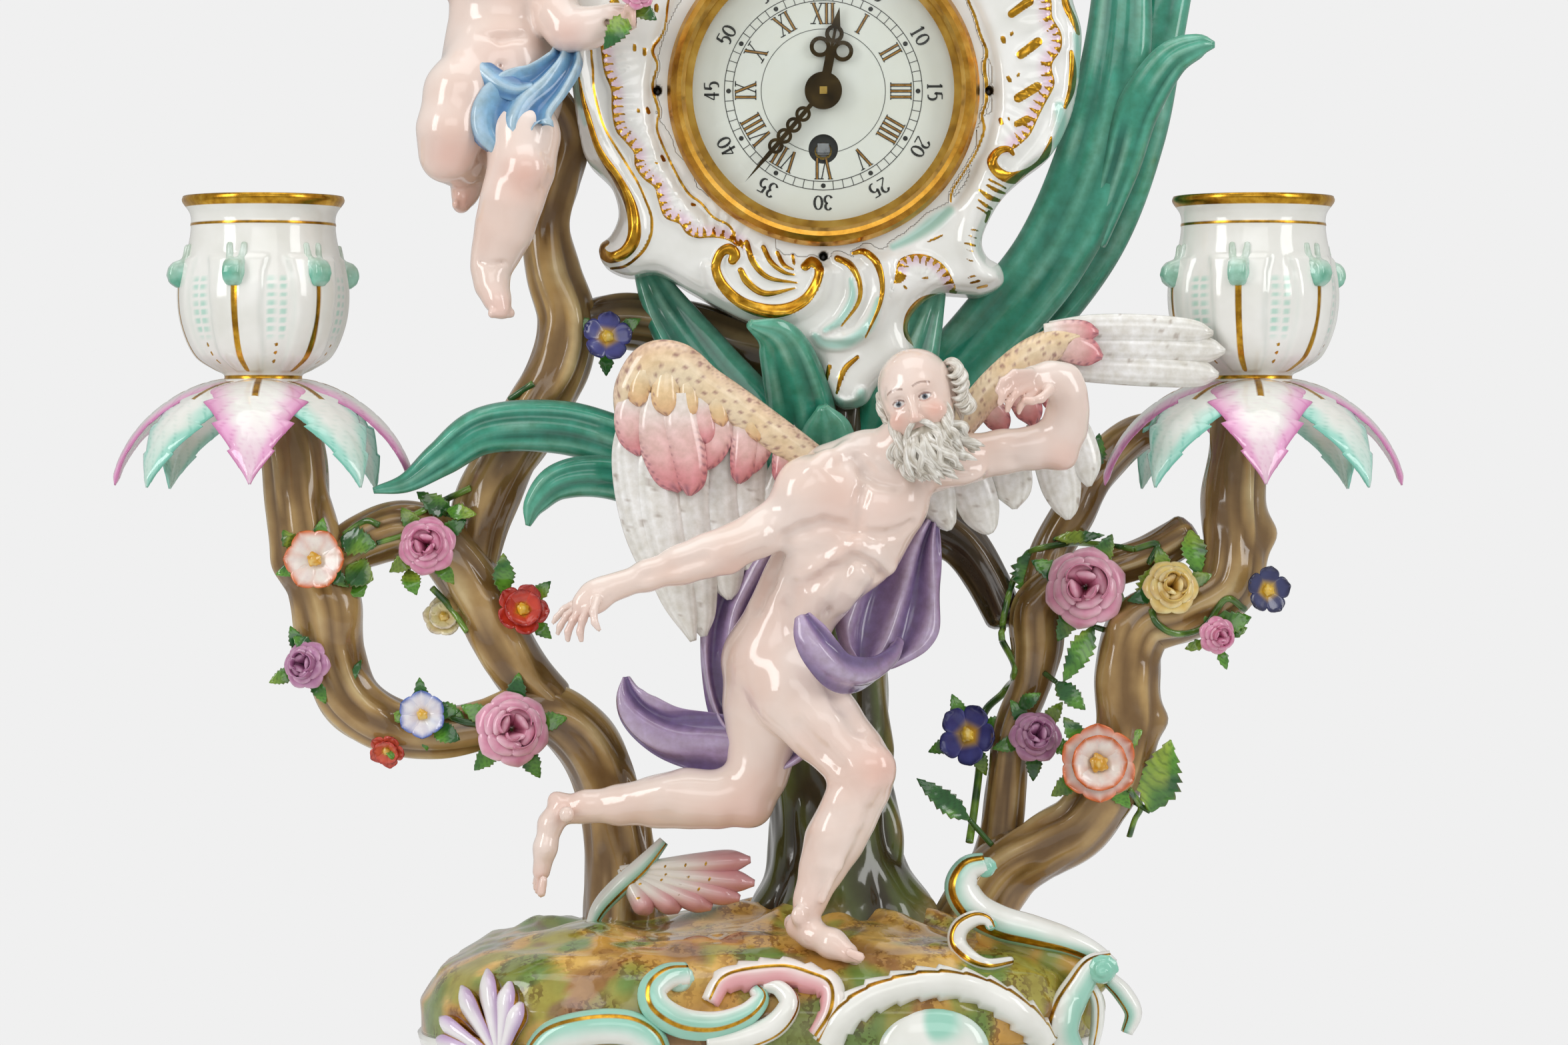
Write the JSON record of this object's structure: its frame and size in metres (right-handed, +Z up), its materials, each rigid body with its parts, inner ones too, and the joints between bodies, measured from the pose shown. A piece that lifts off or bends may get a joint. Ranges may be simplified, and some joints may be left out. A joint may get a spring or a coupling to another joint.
{
  "type": "figural clock",
  "caption": "Glazed porcelain figural mantel clock with tree, winged old man, putto, two candle arms, hinged bezel and spring movement.",
  "frame": {"origin": "on the ground under the middle of the whole clock", "axes": "+Z up, -Y towards the viewer of the dial, +X to the viewer's right"},
  "size_m": [0.4003, 0.1808, 0.4593],
  "materials": {
    "white_porcelain": "glossy glazed white porcelain with gilding",
    "mound_glaze": "glossy painted glaze, grassy ochre and brown",
    "bark_glaze": "glossy painted glaze, streaked bark brown",
    "reed_glaze": "glossy painted glaze, blue-green",
    "leaf_glaze": "glossy painted glaze, leaf green",
    "flower_glaze": "glossy painted glaze, pink and mixed petals",
    "flesh_glaze": "glossy glaze over flesh tint",
    "wing_glaze": "glossy glaze, cream, pink and white feathers",
    "purple_glaze": "glossy painted glaze, purple",
    "blue_glaze": "glossy painted glaze, light blue",
    "pan_glaze": "glossy glaze, pink and mint leaves with gilt ribs",
    "gilt_brass": "polished gilt brass, tarnished in the groove",
    "movement_brass": "brushed lacquered brass",
    "movement_steel": "polished steel",
    "dark_brass": "darkened brass",
    "dial_enamel": "white enamel with painted numerals",
    "clear_glass": "clear thin glass"
  },
  "bodies": {
    "root": {"base_plinth": "white_porcelain", "base_mound": "mound_glaze", "base_scrolls": "white_porcelain", "tree_trunk": "bark_glaze", "left_candle_arm": "bark_glaze", "right_candle_arm": "bark_glaze", "left_loop_branch": "bark_glaze", "left_upright_branch": "bark_glaze", "left_cross_branch": "bark_glaze", "right_stem_branch": "bark_glaze", "right_rear_branch": "bark_glaze", "right_hoop_branch": "bark_glaze", "tall_reeds": "reed_glaze", "short_reeds": "reed_glaze", "left_drip_pan": "pan_glaze", "right_drip_pan": "pan_glaze", "left_candle_cup": "white_porcelain", "right_candle_cup": "white_porcelain", "cup_bolts": "movement_steel", "arm_bushes": "movement_brass", "clock_case": "white_porcelain", "case_scrolls": "white_porcelain", "time_torso": "flesh_glaze", "time_head": "flesh_glaze", "time_right_arm": "flesh_glaze", "time_left_arm": "flesh_glaze", "time_front_leg": "flesh_glaze", "time_rear_leg": "flesh_glaze", "time_left_wing": "wing_glaze", "time_right_wing": "wing_glaze", "time_drape": "purple_glaze", "putto_body": "flesh_glaze", "putto_limbs": "flesh_glaze", "putto_drape": "blue_glaze", "roses": "flower_glaze", "open_flowers": "flower_glaze", "foliage": "leaf_glaze", "hinge_pins": "movement_steel", "hinge_leaves": "gilt_brass", "dial": "dial_enamel", "front_plate": "movement_brass", "back_plate": "movement_brass", "movement_screws": "movement_steel", "balance_cock": "movement_brass"},
    "bezel_door": {"bezel": "gilt_brass", "bezel_glass": "clear_glass"},
    "rear_door": {"rear_cover": "gilt_brass"},
    "minute_arbor": {"centre_wheel": "movement_brass", "minute_hand": "dark_brass"},
    "hour_pipe": {"hour_wheel": "movement_brass", "hour_hand": "dark_brass"},
    "motion_wheel": {"minute_wheel": "movement_brass"},
    "barrel": {"mainspring_barrel": "movement_brass"},
    "winding_shaft": {"winding_arbor": "movement_steel", "ratchet_wheel": "movement_steel"},
    "click_lever": {"click": "movement_steel"},
    "third_arbor": {"third_wheel": "movement_brass"},
    "escape_arbor": {"escape_wheel": "movement_brass"},
    "pallet_lever": {"pallet_fork": "movement_steel"},
    "balance_staff": {"balance_wheel": "movement_brass"}
  },
  "joints": [
    {"name": "bezel_hinge", "type": "hinge", "parent": "root", "child": "bezel_door", "pos_m": [0.02031, -0.0265, 0.40728], "axis": [-1, 0, 0], "range_deg": [0, 100]},
    {"name": "rear_cover_hinge", "type": "hinge", "parent": "root", "child": "rear_door", "pos_m": [-0.02069, 0.0225, 0.35628], "axis": [0, 0, 1], "range_deg": [0, 110]},
    {"name": "minute_spin", "type": "hinge", "parent": "root", "child": "minute_arbor", "pos_m": [0.02031, -0.014, 0.35628], "axis": [0, 1, 0], "continuous": true},
    {"name": "hour_spin", "type": "hinge", "parent": "root", "child": "hour_pipe", "pos_m": [0.02031, -0.014, 0.35628], "axis": [0, 1, 0], "continuous": true},
    {"name": "motion_wheel_spin", "type": "hinge", "parent": "root", "child": "motion_wheel", "pos_m": [0.02987, -0.014, 0.3618], "axis": [0, 1, 0], "continuous": true},
    {"name": "barrel_spin", "type": "hinge", "parent": "root", "child": "barrel", "pos_m": [0.02031, -0.014, 0.33828], "axis": [0, 1, 0], "continuous": true},
    {"name": "winding_spin", "type": "hinge", "parent": "root", "child": "winding_shaft", "pos_m": [0.02031, -0.014, 0.33828], "axis": [0, 1, 0], "continuous": true},
    {"name": "click_lift", "type": "hinge", "parent": "root", "child": "click_lever", "pos_m": [0.0113, -0.014, 0.34348], "axis": [0, -1, 0], "range_deg": [0, 14]},
    {"name": "third_spin", "type": "hinge", "parent": "root", "child": "third_arbor", "pos_m": [0.01337, -0.014, 0.36455], "axis": [0, 1, 0], "continuous": true},
    {"name": "escape_spin", "type": "hinge", "parent": "root", "child": "escape_arbor", "pos_m": [0.01787, -0.014, 0.37234], "axis": [0, 1, 0], "continuous": true},
    {"name": "pallet_rock", "type": "hinge", "parent": "root", "child": "pallet_lever", "pos_m": [0.02667, -0.014, 0.37234], "axis": [0, 1, 0], "range_deg": [-4, 4]},
    {"name": "balance_swing", "type": "hinge", "parent": "root", "child": "balance_staff", "pos_m": [0.03498, -0.014, 0.36754], "axis": [0, 1, 0], "range_deg": [-135, 135]}
  ],
  "couplings": [
    {"joint": "hour_spin", "follows": "minute_spin", "ratio": 0.083333},
    {"joint": "motion_wheel_spin", "follows": "minute_spin", "ratio": -0.33333},
    {"joint": "barrel_spin", "follows": "minute_spin", "ratio": -0.16667},
    {"joint": "third_spin", "follows": "minute_spin", "ratio": -5},
    {"joint": "escape_spin", "follows": "minute_spin", "ratio": 25}
  ]
}
